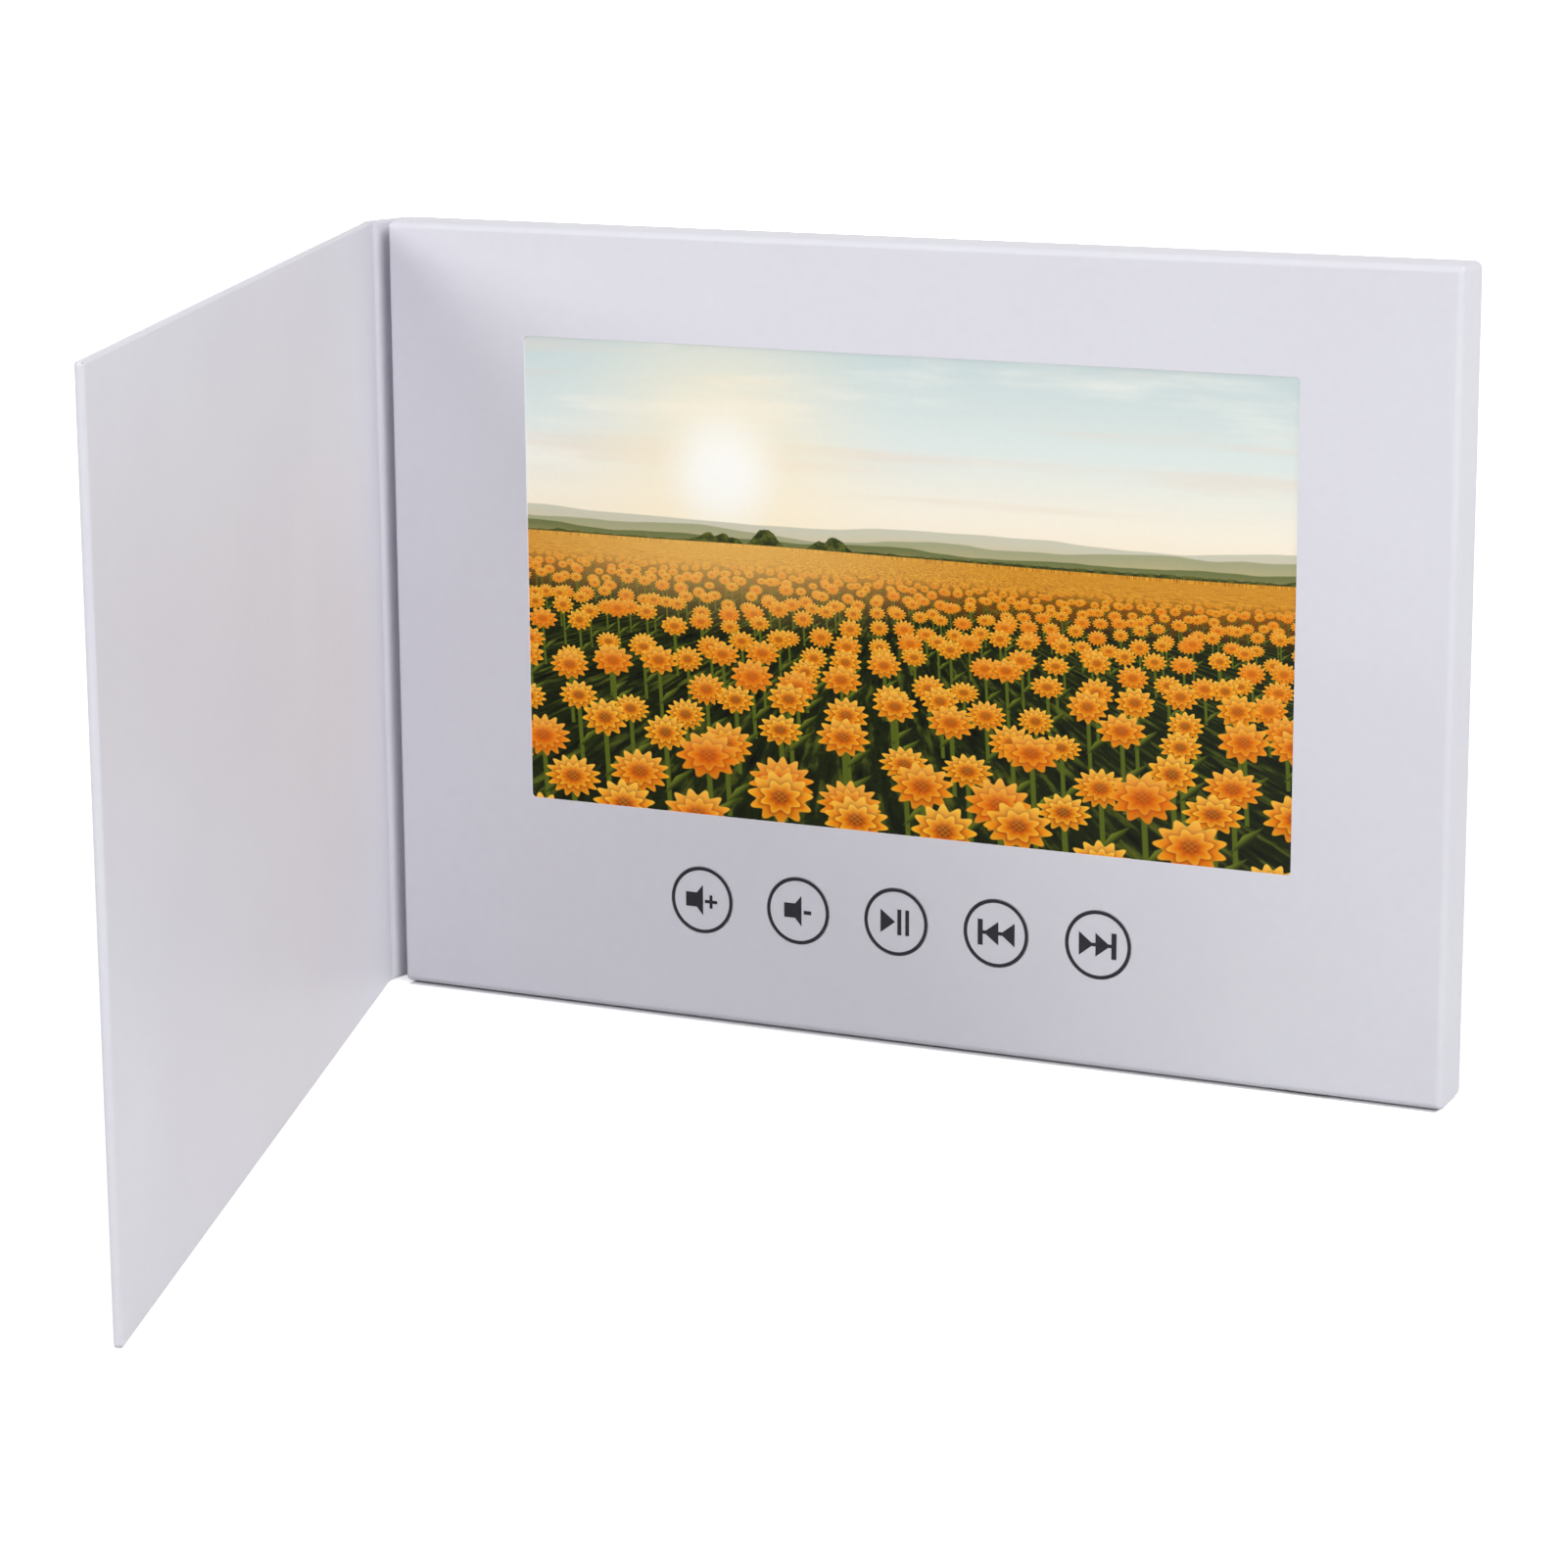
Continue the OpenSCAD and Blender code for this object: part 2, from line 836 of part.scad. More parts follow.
module switch_cases() {
    color(black)
    for (i = [0 : 4])
        difference() {
            block(
                [key_x(i) - switch_w / 2, switch_front_y, key_z - switch_w / 2],
                [key_x(i) + switch_w / 2, key_board_y, key_z + switch_w / 2]
            );
            bar(
                key_x(i), key_z, plunger_r + plunger_gap,
                switch_front_y - 1, key_board_y - switch_floor_t
            );
        }
}

// Snap discs under the plungers, drawn as they lie when pressed
module switch_domes() {
    rim_t = 0.15;
    crown_r = 0.8;
    dome_gap = 0.05;
    floor_y = key_board_y - switch_floor_t;
    color(metal)
    for (i = [0 : 4])
        union() {
            bar(key_x(i), key_z, plunger_r - dome_gap, floor_y - rim_t, floor_y);
            bar(key_x(i), key_z, crown_r, plunger_end_y + key_travel + dome_gap, floor_y);
        }
}

// Flat ribbon from the key board's front to the main board's back
module key_ribbon() {
    t = 0.2;
    land = 2.5;
    step = 0.5;
    x0 = key_board_w / 2 - land;
    x1 = key_board_w / 2 + step;
    x2 = main_left - step;
    x3 = main_left + land;
    y0 = key_board_y - t;
    y1 = main_back_y;
    color([0.80, 0.80, 0.78])
    translate([0, 0, key_z - ribbon_h / 2])
        linear_extrude(ribbon_h)
            polygon([
                [x0, y0], [x1, y0], [x2, y1], [x3, y1],
                [x3, y1 + t], [x2, y1 + t], [x1, y0 + t], [x0, y0 + t]
            ]);
}

// Two long pads that carry the key board off the back panel
module key_foam() {
    inset = 1.5;
    pad_h = 4;
    color(foam_grey)
    for (side = [-1, 1])
        block(
            [
                -key_board_w / 2 + inset,
                key_board_y + pcb_t,
                key_z + side * (key_board_h / 2 - pad_h / 2) - pad_h / 2
            ],
            [
                key_board_w / 2 - inset,
                back_in_y,
                key_z + side * (key_board_h / 2 - pad_h / 2) + pad_h / 2
            ]
        );
}

// Battery

module battery_cell() {
    r = cell_r;
    color([0.78, 0.79, 0.80])
    intersection() {
        along_x(cell_mid_x - cell_w / 2, cell_right)
            soft_rect(
                [cell_front_y, cell_mid_z - cell_h / 2], [cell_back_y, cell_mid_z + cell_h / 2],
                [r, r, r, r]
            );
        along_y(cell_front_y, cell_back_y)
            soft_rect(
                [cell_mid_x - cell_w / 2, cell_mid_z - cell_h / 2],
                [cell_right, cell_mid_z + cell_h / 2],
                [r, r, r, r]
            );
    }
}

module battery_board() {
    color(board_green)
    block(
        [cell_right, cell_mid_y - pcb_t / 2, cell_mid_z - cell_board_h / 2],
        [cell_right + cell_board_w, cell_mid_y + pcb_t / 2, cell_mid_z + cell_board_h / 2]
    );
}

// Amber tape round the battery's small board
module battery_tape() {
    gap = 0.1;
    color([0.80, 0.50, 0.10])
    translate([0, 0, cell_mid_z - cell_board_h / 2 + 1.5])
        linear_extrude(cell_board_h - 3)
            difference() {
                translate([cell_right + gap, cell_mid_y - pcb_t / 2 - sleeve_t])
                    square([cell_board_w + sleeve_t, pcb_t + 2 * sleeve_t]);
                translate([cell_right, cell_mid_y - pcb_t / 2])
                    square([cell_board_w, pcb_t]);
            }
}

// One of the two wires from the battery board's lower end to the connector
module battery_wire(side) {
    lift = side * wire_gap / 2;
    start = [
        cell_right + cell_board_w / 2 + lift,
        cell_mid_y,
        cell_mid_z - cell_board_h / 2
    ];
    goal = [
        battery_plug_x + plug_w / 2 + lift,
        main_back_y + plug_t / 2,
        battery_plug_z + plug_w
    ];
    wire(curve(fitted(battery_route, start, goal), 3), wire_d);
}

module battery_wire_red() {
    color([0.70, 0.05, 0.05])
        battery_wire(1);
}

module battery_wire_black() {
    color(black)
        battery_wire(-1);
}

// Speaker

// Turns a profile drawn as radius and depth about the speaker's middle
module speaker_turn() {
    translate([speaker_x, speaker_front_y, speaker_z])
        rotate([-90, 0, 0])
            rotate_extrude()
                children();
}

module speaker_frame() {
    r = speaker_r;
    t = speaker_t;
    color([0.30, 0.30, 0.31])
    speaker_turn()
        polygon([
            [3, 1.5], [r * 0.55, 1.5], [r - 1, t - 1.7], [r, t - 1.7], [r, t],
            [r - 1, t], [r - 1, t - 1.1], [r * 0.5, 2.1], [3, 2.1]
        ]);
}

module speaker_cone() {
    r = speaker_r - 1;
    t = speaker_t;
    color([0.12, 0.12, 0.12])
    speaker_turn()
        polygon([
            [0, t - 1.4], [r * 0.35, t - 1.4], [r * 0.8, t - 0.5], [r, t - 0.5],
            [r, t - 0.3], [r * 0.78, t - 0.3], [r * 0.34, t - 1.2], [0, t - 1.2]
        ]);
}

module speaker_magnet() {
    color(metal)
    bar(speaker_x, speaker_z, speaker_r * 0.5, speaker_front_y, speaker_front_y + 1.5);
}

// Two wires from the speaker's right side, under the key board to the main board
module speaker_wires() {
    start = [speaker_x + speaker_r, back_in_y - 1, speaker_z];
    goal = [speaker_plug_x, main_back_y + plug_t / 2, speaker_plug_z + plug_w / 2];
    color(black)
    for (side = [-1, 1])
        translate([0, 0, side * wire_gap / 2])
            wire(curve(fitted(speaker_route, start, goal), 4), wire_d);
}

// Keys

module key_disc(i) {
    color(white)
        bar(key_x(i), key_z, key_r, front_y, card_in_y);
}

module key_plunger(i) {
    color(black)
        bar(key_x(i), key_z, plunger_r, card_in_y, plunger_end_y);
}

// Ink on the front of key i: the ring and the sign drawn in x and z
module key_print(i) {
    color([0.10, 0.09, 0.13])
    along_y(front_y - ink_t, front_y)
        translate([key_x(i), key_z]) {
            difference() {
                circle(key_r);
                circle(key_r - ring_w);
            }
            children();
        }
}

// A loudspeaker sign whose left edge is at x, with its block and its horn
module horn_sign(x) {
    block_w = 2.25;
    block_h = 1.38;
    horn_w = 1.3;
    horn_h = 2.9;
    polygon([
        [x, -block_h], [x + block_w, -block_h], [x + block_w + horn_w, -horn_h],
        [x + block_w + horn_w, horn_h], [x + block_w, block_h], [x, block_h]
    ]);
}

// A triangle that points right, from its base to its tip
module arrow(base, tip) {
    half_h = 2.2;
    polygon([[base, -half_h], [tip, 0], [base, half_h]]);
}

module upright(x, w) {
    half_h = 2.42;
    translate([x, -half_h])
        square([w, 2 * half_h]);
}

// The short bar that joins two signs
module link(x0, x1) {
    half_h = 0.32;
    translate([x0, -half_h])
        square([x1 - x0, 2 * half_h]);
}

module volume_up_print() {
    arm = 1.28;
    thick = 0.6;
    key_print(0) {
        horn_sign(-3.37);
        translate([1.87, -0.2])
            union() {
                square([2 * arm, thick], center = true);
                square([thick, 2 * arm], center = true);
            }
    }
}

module volume_down_print() {
    key_print(1) {
        horn_sign(-2.85);
        translate([1.95, -0.2])
            square([1.5, 0.7], center = true);
    }
}

module play_print() {
    key_print(2) {
        arrow(-3.1, -0.17);
        upright(0.3, 0.78);
        upright(1.91, 0.73);
    }
}

module previous_print() {
    key_print(3)
        mirror([1, 0])
            skip_sign();
}

module next_print() {
    key_print(4)
        skip_sign();
}

// Two arrows and a bar, joined at their tips
module skip_sign() {
    union() {
        arrow(-3.69, -0.87);
        link(-1.2, -0.4);
        arrow(-0.47, 2.4);
        link(2, 2.7);
        upright(2.63, 0.95);
    }
}

tray_wrap();
front_board();
frame_top();
frame_bottom();
frame_left();
frame_right();
back_board();
back_wrap();
lcd_tape();
lcd_panel();
lcd_backlight();
lcd_tray();
lcd_flex();
back_foam();
main_board();
chips();
small_parts();
usb_socket();
usb_tongue();
flex_connector();
wire_connectors();
hall_sensor();
board_foam();
key_board();
switch_cases();
switch_domes();
key_ribbon();
key_foam();
battery_cell();
battery_board();
battery_tape();
battery_wire_red();
battery_wire_black();
speaker_frame();
speaker_cone();
speaker_magnet();
speaker_wires();
spine_board();
spine_wrap();
spine_liner();
cover_board();
cover_wrap();
cover_liner();
cover_magnet();
key_disc(0);  // volume_up_key
volume_up_print();
key_plunger(0);  // volume_up_plunger
key_disc(1);  // volume_down_key
volume_down_print();
key_plunger(1);  // volume_down_plunger
key_disc(2);  // play_key
play_print();
key_plunger(2);  // play_plunger
key_disc(3);  // previous_key
previous_print();
key_plunger(3);  // previous_plunger
key_disc(4);  // next_key
next_print();
key_plunger(4);  // next_plunger
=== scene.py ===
import json
import math

import bmesh
import bpy
from mathutils import Matrix, Vector

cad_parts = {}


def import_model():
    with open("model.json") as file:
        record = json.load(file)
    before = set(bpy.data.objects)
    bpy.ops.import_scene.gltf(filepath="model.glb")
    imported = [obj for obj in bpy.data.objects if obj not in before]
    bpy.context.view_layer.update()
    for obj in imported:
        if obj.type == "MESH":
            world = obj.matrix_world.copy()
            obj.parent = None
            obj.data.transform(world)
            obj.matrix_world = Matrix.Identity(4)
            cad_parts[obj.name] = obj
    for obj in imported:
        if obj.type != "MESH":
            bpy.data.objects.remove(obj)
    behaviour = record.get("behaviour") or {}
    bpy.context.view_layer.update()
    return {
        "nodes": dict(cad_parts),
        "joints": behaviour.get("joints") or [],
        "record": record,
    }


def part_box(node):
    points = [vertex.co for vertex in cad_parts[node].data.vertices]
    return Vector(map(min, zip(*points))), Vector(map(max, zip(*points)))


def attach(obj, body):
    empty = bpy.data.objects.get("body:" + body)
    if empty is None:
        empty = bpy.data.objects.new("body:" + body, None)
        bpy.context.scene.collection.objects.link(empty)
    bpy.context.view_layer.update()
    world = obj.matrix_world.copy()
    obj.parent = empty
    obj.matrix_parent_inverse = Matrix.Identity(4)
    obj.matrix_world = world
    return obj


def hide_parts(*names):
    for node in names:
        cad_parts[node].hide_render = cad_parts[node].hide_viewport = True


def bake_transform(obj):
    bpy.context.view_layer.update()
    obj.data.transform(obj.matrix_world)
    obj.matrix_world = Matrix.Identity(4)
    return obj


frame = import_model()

MM = 0.001


def node_box(name):
    """A CAD node's lowest and highest corner in millimetres."""
    lo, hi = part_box(name)
    return lo / MM, hi / MM


# Sizes and places of the CAD part, in millimetres and degrees
TRAY_LO, TRAY_HI = node_box("tray_wrap")
BACK_Y = node_box("back_wrap")[1].y
KEY_LO, KEY_HI = node_box("play_key")
CARD_T = KEY_HI.y - KEY_LO.y
KEY_R = (KEY_HI.x - KEY_LO.x) / 2
KEY_NAMES = ["volume_up", "volume_down", "play", "previous", "next"]
KEY_GAP = 0.1
PANEL_H = 0.8
PANEL_GAP = 1.1
WINDOW = (-76.2, 39.6, 76.2, 127.7)
USB_SLOT = ((75.95, -4.85, -1.0), (83.95, -1.75, 1.4))
SPINE_ANGLE, COVER_FOLD = 75.7, 34.2
COVER_L = 212.0
JOINTS = {j["name"]: j for j in frame["joints"]}
CREASE_A = Vector(JOINTS["spine_crease"]["pos_m"]).xy / MM
CREASE_B = Vector(JOINTS["cover_crease"]["pos_m"]).xy / MM
SPINE_L = (CREASE_A - CREASE_B).length

# Radii of the rounded edges and corners, in millimetres
EDGE_R = 1.4
LEFT_EDGE_R = 0.6
FRONT_CORNER_R, BACK_CORNER_R = 0.9, 1.6
COVER_CORNER_R = 0.8
PANEL_EDGE_R = 0.7
WINDOW_R = 0.8
HOLE_EDGE_R = 0.07
LEAST_R, LEAST_CORNER_R = 0.03, 0.05


# Node trees

class Val:
    """A socket of the node tree being written, with Python's arithmetic."""

    def __init__(self, out):
        self.out = out

    def __add__(self, other):
        return calc("ADD", self, other)

    __radd__ = __add__

    def __mul__(self, other):
        return calc("MULTIPLY", self, other)

    __rmul__ = __mul__

    def __sub__(self, other):
        return calc("SUBTRACT", self, other)

    def __rsub__(self, other):
        return calc("SUBTRACT", other, self)

    def __truediv__(self, other):
        return calc("DIVIDE", self, other)

    def __rtruediv__(self, other):
        return calc("DIVIDE", other, self)


TREE = MATERIAL = None


def node(kind, **settings):
    made = TREE.nodes.new(kind)
    for name, value in settings.items():
        setattr(made, name, value)
    return made


def put(socket, value):
    if isinstance(value, Val):
        TREE.links.new(value.out, socket)
    else:
        socket.default_value = value


def calc(operation, *values):
    n = node("ShaderNodeMath", operation=operation)
    for socket, value in zip(n.inputs, values):
        put(socket, value)
    return Val(n.outputs[0])


def smooth(x, low, high, out_low=0.0, out_high=1.0):
    """Goes smoothly from out_low to out_high as x goes from low to high."""
    n = node("ShaderNodeMapRange", interpolation_type="SMOOTHSTEP")
    for i, value in enumerate((x, low, high, out_low, out_high)):
        put(n.inputs[i], value)
    return Val(n.outputs[0])


def rgb(r, g, b):
    """A screen colour in 0 to 255 as Blender's linear colour."""
    def linear(c):
        c /= 255
        return c / 12.92 if c <= 0.04045 else ((c + 0.055) / 1.055) ** 2.4
    return (linear(r), linear(g), linear(b), 1.0)


def mix(factor, a, b):
    """Colour a where the factor is 0, going to colour b where it is 1."""
    n = node("ShaderNodeMix", data_type="RGBA")
    put(n.inputs[0], factor)
    put(n.inputs[6], a)
    put(n.inputs[7], b)
    return Val(n.outputs[2])


def ramp(x, *stops):
    """A colour that runs through the stops (place, colour)."""
    n = node("ShaderNodeValToRGB")
    put(n.inputs[0], x)
    while len(n.color_ramp.elements) < len(stops):
        n.color_ramp.elements.new(1.0)
    for element, (place, colour) in zip(n.color_ramp.elements, stops):
        element.position = place
        element.color = colour
    return Val(n.outputs[0])


def joined(x, y):
    n = node("ShaderNodeCombineXYZ")
    for socket, value in zip(n.inputs, (x, y)):
        put(socket, value)
    return Val(n.outputs[0])


def noise(place, scale, detail=2.0, roughness=0.5):
    n = node("ShaderNodeTexNoise")
    put(n.inputs["Vector"], place)
    n.inputs["Scale"].default_value = scale
    n.inputs["Detail"].default_value = detail
    n.inputs["Roughness"].default_value = roughness
    return Val(n.outputs["Fac"])


def cells(place, scale, out="Distance"):
    n = node("ShaderNodeTexVoronoi")
    put(n.inputs["Vector"], place)
    n.inputs["Scale"].default_value = scale
    return Val(n.outputs[out])


def chance(x, y):
    """Three random numbers for a pair of whole numbers."""
    n = node("ShaderNodeTexWhiteNoise", noise_dimensions="2D")
    put(n.inputs["Vector"], joined(x, y))
    parts = node("ShaderNodeSeparateColor")
    TREE.links.new(n.outputs["Color"], parts.inputs[0])
    return [Val(o) for o in parts.outputs]


def here(kind="Object"):
    return Val(node("ShaderNodeTexCoord").outputs[kind])


def stretched(place, x, y, z):
    n = node("ShaderNodeMapping", vector_type="POINT")
    put(n.inputs["Vector"], place)
    n.inputs["Scale"].default_value = (x, y, z)
    return Val(n.outputs[0])


def split(place):
    n = node("ShaderNodeSeparateXYZ")
    put(n.inputs[0], place)
    return [Val(o) for o in n.outputs]


def bumped(height, distance, strength=1.0, under=None):
    n = node("ShaderNodeBump")
    n.inputs["Strength"].default_value = strength
    n.inputs["Distance"].default_value = distance
    put(n.inputs["Height"], height)
    if under is not None:
        put(n.inputs["Normal"], under)
    return Val(n.outputs["Normal"])


def material(name):
    """Starts a material, whose tree the helpers above then write, and returns its shader."""
    global TREE, MATERIAL
    MATERIAL = bpy.data.materials.new(name + "_look")
    MATERIAL.use_nodes = True
    TREE = MATERIAL.node_tree
    return TREE.nodes["Principled BSDF"]


def surface(colour, roughness, normal=None, **constants):
    """Ends a material with its colour, roughness and normal, and plain values on other sockets."""
    shader = TREE.nodes["Principled BSDF"]
    put(shader.inputs["Base Color"], colour)
    put(shader.inputs["Roughness"], roughness)
    if normal is not None:
        put(shader.inputs["Normal"], normal)
    for socket, value in constants.items():
        shader.inputs[socket.replace("_", " ")].default_value = value
    return MATERIAL


# Materials

def paper_look(name, light, dark, gloss, fibre):
    """Printed card with a soft film: faint clouds in its tint, fine fibre and a broad sheen."""
    material(name)
    place = here()
    clouds = noise(place, 22.0, 2.0, 0.5)
    mottle = noise(place, 420.0, 3.0, 0.6)
    grain = noise(place, 5200.0, 2.0, 0.6)
    tint = clouds * 0.6 + mottle * 0.4
    colour = mix(smooth(tint, 0.3, 0.7), dark, light)
    roughness = gloss + (mottle - 0.5) * 0.12
    normal = bumped(noise(place, 60.0, 2.0, 0.5), 0.0004, 0.12)
    normal = bumped(grain, 0.00003, fibre, normal)
    return surface(colour, roughness, normal, Specular_IOR_Level=0.2)


def ink_look():
    material("ink")
    place = here()
    patch = noise(place, 900.0, 3.0, 0.6)
    colour = mix(smooth(patch, 0.3, 0.75), rgb(17, 16, 24), rgb(27, 26, 35))
    normal = bumped(noise(place, 5200.0, 2.0, 0.6), 0.00002, 0.3)
    return surface(colour, 0.42 + patch * 0.15, normal, Specular_IOR_Level=0.35)


def greyboard_look():
    material("greyboard")
    place = here()
    fibre = noise(stretched(place, 1.0, 1.0, 2.6), 1500.0, 4.0, 0.7)
    fleck = cells(place, 900.0)
    colour = mix(smooth(fibre, 0.3, 0.7), rgb(128, 121, 108), rgb(166, 158, 143))
    colour = mix(smooth(fleck, 0.12, 0.05), colour, rgb(92, 84, 72))
    return surface(colour, 0.85 + fibre * 0.1, bumped(fibre, 0.00015, 0.5))


def metal_look(name, light, dark, roughness, stretch):
    """Rolled or drawn metal, whose fine lines run across the axis with the largest stretch."""
    material(name)
    place = stretched(here(), *stretch)
    lines = noise(place, 2600.0, 3.0, 0.65)
    cloud = noise(here(), 160.0, 2.0, 0.5)
    colour = mix(smooth(lines * 0.7 + cloud * 0.3, 0.3, 0.7), dark, light)
    return surface(
        colour, roughness + (lines - 0.5) * 0.2, bumped(lines, 0.00002, 0.4), Metallic=1.0)


def moulded_look(name, light, dark, roughness):
    """Moulded plastic, rubber or film: a fine surface grain and a slow change of tint."""
    material(name)
    place = here()
    fine = noise(place, 1400.0, 2.0, 0.6)
    slow = noise(place, 90.0, 3.0, 0.5)
    colour = mix(smooth(slow * 0.7 + fine * 0.3, 0.3, 0.7), dark, light)
    return surface(colour, roughness + (slow - 0.5) * 0.15, bumped(fine, 0.00004, 0.4))


def foam_look():
    material("foam")
    place = here()
    pores = cells(place, 2400.0)
    colour = mix(smooth(pores, 0.05, 0.5), rgb(30, 30, 32), rgb(66, 66, 68))
    return surface(colour, 0.95, bumped(pores, 0.0002, 0.7), Specular_IOR_Level=0.2)


def circuit_look():
    """Green solder mask with the faint raised lines of the tracks under it."""
    material("board_green")
    place = here()
    x, _, z = split(place)
    bend = noise(place, 60.0, 0.0) * 6.0
    lines = calc("PINGPONG", x * 900.0 + calc("ROUND", bend), 0.5)
    rows = calc("PINGPONG", z * 620.0 + calc("ROUND", bend * 0.7), 0.5)
    track = smooth(calc("MAXIMUM", lines, rows), 0.40, 0.46)
    cloud = noise(place, 300.0, 2.0)
    colour = mix(track * 0.75, rgb(14, 70, 42), rgb(40, 118, 66))
    colour = mix(cloud * 0.3, colour, rgb(8, 46, 30))
    return surface(colour, 0.28 + cloud * 0.15, bumped(track, 0.00003, 0.5))


def ring_look(name, light, dark, roughness, turns):
    """Rings round a piece's own middle, as on a speaker's cone and its pressed frame."""
    material(name)
    place = here("Generated")
    x, _, z = split(place)
    dx, dz = x - 0.5, z - 0.5
    radius = calc("SQRT", dx * dx + dz * dz)
    rings = calc("SINE", radius * turns)
    cloud = noise(here(), 500.0, 3.0, 0.6)
    colour = mix(smooth(rings * 0.3 + cloud, 0.2, 0.9), dark, light)
    return surface(colour, roughness + (cloud - 0.5) * 0.2, bumped(rings, 0.00004, 0.4))


# The picture on the display: its lower edge and height, its horizon, and its rows of flowers

PICTURE_LOW = WINDOW[1] * MM
PICTURE_H = (WINDOW[3] - WINDOW[1]) * MM
HORIZON = 0.585
ROW_RATIO = 0.84
HEAD_SIZE = 0.088
HEAD_PITCH = 2.1
SUN = (-0.40, 0.735)


def hill(u, height, scale, seed, reach):
    """Height of a ridge over the picture's width."""
    return height + (noise(joined(u * scale, seed), 1.0, 3.0, 0.45) - 0.5) * reach


def blossoms(under, u, v, row):
    """The round flower heads of one row of the field, over the colour under them."""
    near = calc("POWER", ROW_RATIO, row)
    size = near * (HEAD_SIZE + 0.03 * (1.0 - near))
    x = u / (size * HEAD_PITCH) + calc("FRACT", row * 0.387) * 3.0 + 40.0
    cell = calc("FLOOR", x)
    r1, r2, r3 = chance(cell, row)
    dx = (x - cell - 0.5 - (r1 - 0.5) * 0.16) * HEAD_PITCH
    dz = (near - v) * HORIZON / size + (r2 - 0.5) * 1.3
    grown = 0.78 + r3 * 0.24
    ex = dx / grown
    ez = dz / (grown * (0.62 + r1 * 0.16))
    radius = calc("SQRT", ex * ex + ez * ez)
    angle = calc("ARCTAN2", ez, ex)
    petals = calc("FLOOR", r2 * 5.0) + 11.0
    lobe = calc("COSINE", angle * petals + r1 * 6.0)
    lobe_in = calc("COSINE", angle * (petals - 3.0) + r3 * 6.0)
    edge = 0.88 + lobe * 0.12
    edge_in = 0.56 + lobe_in * 0.09
    # Stem, then the leaf beside it, then the head
    stem = smooth(calc("ABSOLUTE", dx + dz * 0.06), 0.11, 0.05) * smooth(dz, -0.1, -0.3)
    lx = (dx - 0.45) * 0.75 + (dz + 1.5) * 0.62
    lz = (dz + 1.5) * 0.75 - (dx - 0.45) * 0.62
    leaf = smooth(calc("ABSOLUTE", lx) * 1.1 + calc("ABSOLUTE", lz) * 4.4, 0.8, 0.62)
    colour = mix(stem, under, rgb(86, 98, 26))
    leaf_tone = mix(smooth(lz, -0.1, 0.16), rgb(30, 40, 10), rgb(110, 120, 36))
    colour = mix(leaf, colour, leaf_tone)
    share = radius / edge
    outer = ramp(
        share, (0.45, rgb(200, 84, 4)), (0.72, rgb(240, 146, 12)), (1.0, rgb(255, 198, 52)))
    inner = ramp(
        radius / edge_in, (0.4, rgb(194, 80, 4)), (0.75, rgb(246, 158, 18)),
        (1.0, rgb(255, 210, 72)))
    outer = mix((1.0 - lobe) * 0.17, outer, rgb(160, 60, 6))
    outer = mix(smooth(radius - edge_in, 0.16, 0.0) * 0.55, outer, rgb(140, 52, 4))
    inner = mix((1.0 - lobe_in) * 0.15, inner, rgb(168, 64, 6))
    head = mix(smooth(radius, edge_in, edge_in - 0.05), outer, inner)
    seeds = calc("SINE", ex * 34.0) * calc("SINE", ez * 34.0)
    eye = mix(seeds * 0.5 + 0.5, rgb(104, 48, 8), rgb(190, 108, 20))
    head = mix(smooth(radius, 0.25, 0.19), head, eye)
    head = mix(r3 * r3 * 0.5, head, rgb(226, 92, 8))
    head = mix(smooth(ez, -0.1, 1.0) * 0.36, head, rgb(255, 222, 104))
    head = mix(smooth(ez, 0.0, -1.1) * 0.42, head, rgb(160, 62, 4))
    far = (1.0 - near) * (1.0 - near)
    head = mix(far * 0.4, head, rgb(240, 156, 34))
    return mix(smooth(radius, edge, edge - 0.07), colour, head)


